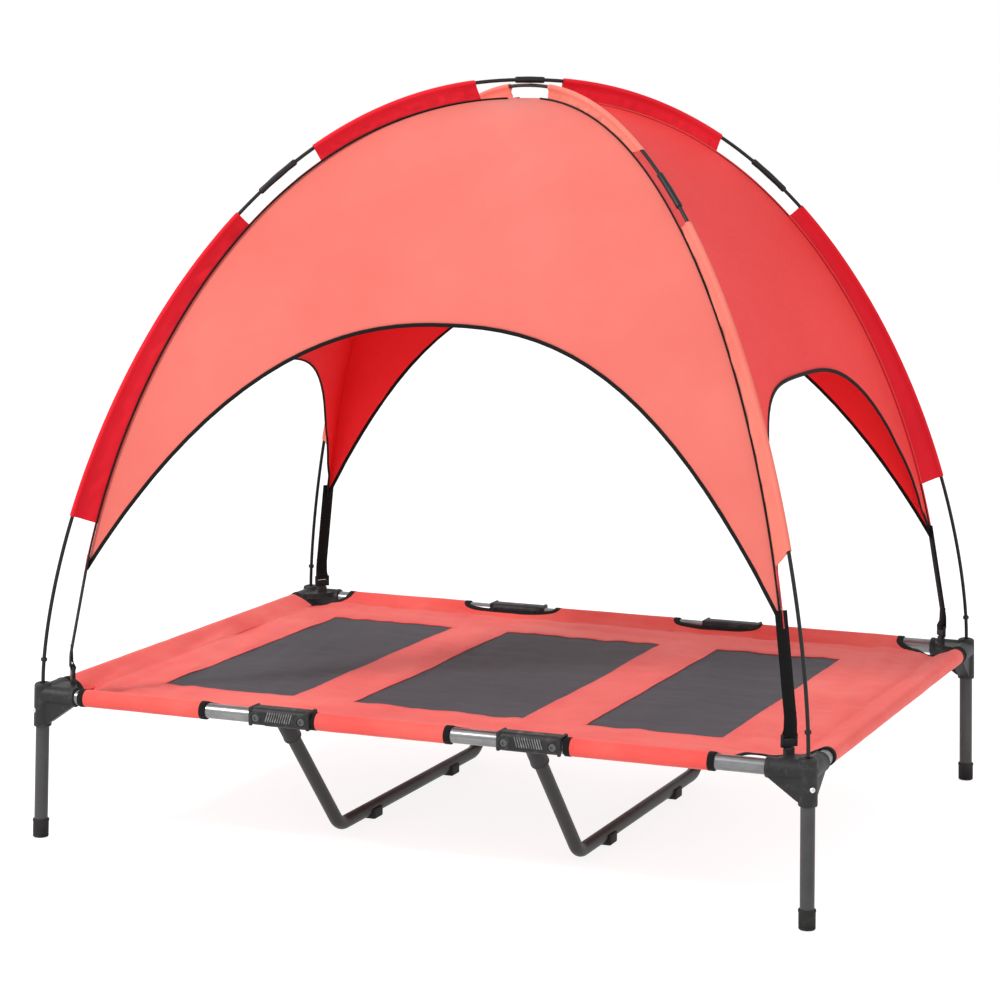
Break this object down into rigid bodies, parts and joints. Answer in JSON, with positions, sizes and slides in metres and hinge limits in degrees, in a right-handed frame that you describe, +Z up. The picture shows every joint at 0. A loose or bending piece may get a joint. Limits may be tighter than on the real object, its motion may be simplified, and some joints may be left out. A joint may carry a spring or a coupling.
{
  "type": "elevated dog bed with canopy",
  "caption": "Raised cloth pet cot on a folding steel tube frame, shaded by a lift-off dome canopy on crossing bent poles.",
  "frame": {"origin": "on the floor at the middle of the cot", "axes": "+X along the long side towards the right end, +Y towards the back, +Z up"},
  "size_m": [1.2034, 0.936, 1.1228],
  "materials": {
    "rail": "satin silver-grey tube",
    "leg": "satin dark grey powder coat",
    "frame_plastic": "finely textured charcoal moulding",
    "foot_rubber": "matte black",
    "bolt": "bright zinc plate",
    "bed_cloth": "coarse coated plain weave",
    "bed_mesh": "open woven mesh",
    "binding": "woven edge tape",
    "canopy_cloth": "thin coated weave, lets light through",
    "pole": "black pultruded rod",
    "ferrule": "black coated sleeve",
    "webbing": "ribbed black webbing",
    "clip_plastic": "moulded black"
  },
  "bodies": {
    "middle_frame": {"middle_rail_front": "rail", "middle_rail_back": "rail", "connector_front_left": "frame_plastic", "pivot_bolt_front_left": "bolt", "fixing_bolt_front_left": "bolt", "connector_front_right": "frame_plastic", "pivot_bolt_front_right": "bolt", "fixing_bolt_front_right": "bolt", "connector_back_left": "frame_plastic", "pivot_bolt_back_left": "bolt", "fixing_bolt_back_left": "bolt", "connector_back_right": "frame_plastic", "pivot_bolt_back_right": "bolt", "fixing_bolt_back_right": "bolt", "middle_leg_left": "leg", "middle_shoe_front_left": "foot_rubber", "middle_shoe_back_left": "foot_rubber", "middle_leg_right": "leg", "middle_shoe_front_right": "foot_rubber", "middle_shoe_back_right": "foot_rubber", "bed_cloth_middle": "bed_cloth"},
    "left_end": {"bracket_front_left": "frame_plastic", "leg_front_left": "leg", "foot_cap_front_left": "foot_rubber", "side_rail_front_left": "rail", "bracket_back_left": "frame_plastic", "leg_back_left": "leg", "foot_cap_back_left": "foot_rubber", "side_rail_back_left": "rail", "end_rail_left": "rail", "bed_cloth_left": "bed_cloth"},
    "right_end": {"bracket_front_right": "frame_plastic", "leg_front_right": "leg", "foot_cap_front_right": "foot_rubber", "side_rail_front_right": "rail", "bracket_back_right": "frame_plastic", "leg_back_right": "leg", "foot_cap_back_right": "foot_rubber", "side_rail_back_right": "rail", "end_rail_right": "rail", "bed_cloth_right": "bed_cloth"},
    "canopy": {"canopy_front": "canopy_cloth", "canopy_back": "canopy_cloth", "canopy_left": "canopy_cloth", "canopy_right": "canopy_cloth", "canopy_pole_upper": "pole", "pole_ferrule_upper_left": "ferrule", "pole_ferrule_upper_right": "ferrule", "canopy_pole_lower": "pole", "pole_ferrule_lower_left": "ferrule", "pole_ferrule_lower_right": "ferrule", "pole_ferrule_crown": "ferrule", "strap_front_left": "webbing", "strap_clip_front_left": "clip_plastic", "strap_front_right": "webbing", "strap_clip_front_right": "clip_plastic", "strap_back_left": "webbing", "strap_clip_back_left": "clip_plastic", "strap_back_right": "webbing", "strap_clip_back_right": "clip_plastic"}
  },
  "joints": [
    {"name": "fold_left", "type": "hinge", "parent": "middle_frame", "child": "left_end", "pos_m": [-0.227, 0, 0.2155], "axis": [0, -1, 0], "range_deg": [0, 90]},
    {"name": "fold_right", "type": "hinge", "parent": "middle_frame", "child": "right_end", "pos_m": [0.227, 0, 0.2155], "axis": [0, 1, 0], "range_deg": [0, 90]},
    {"name": "canopy_lift", "type": "slide", "parent": "middle_frame", "child": "canopy", "axis": [0, 0, 1], "range_m": [0, 0.15]}
  ]
}
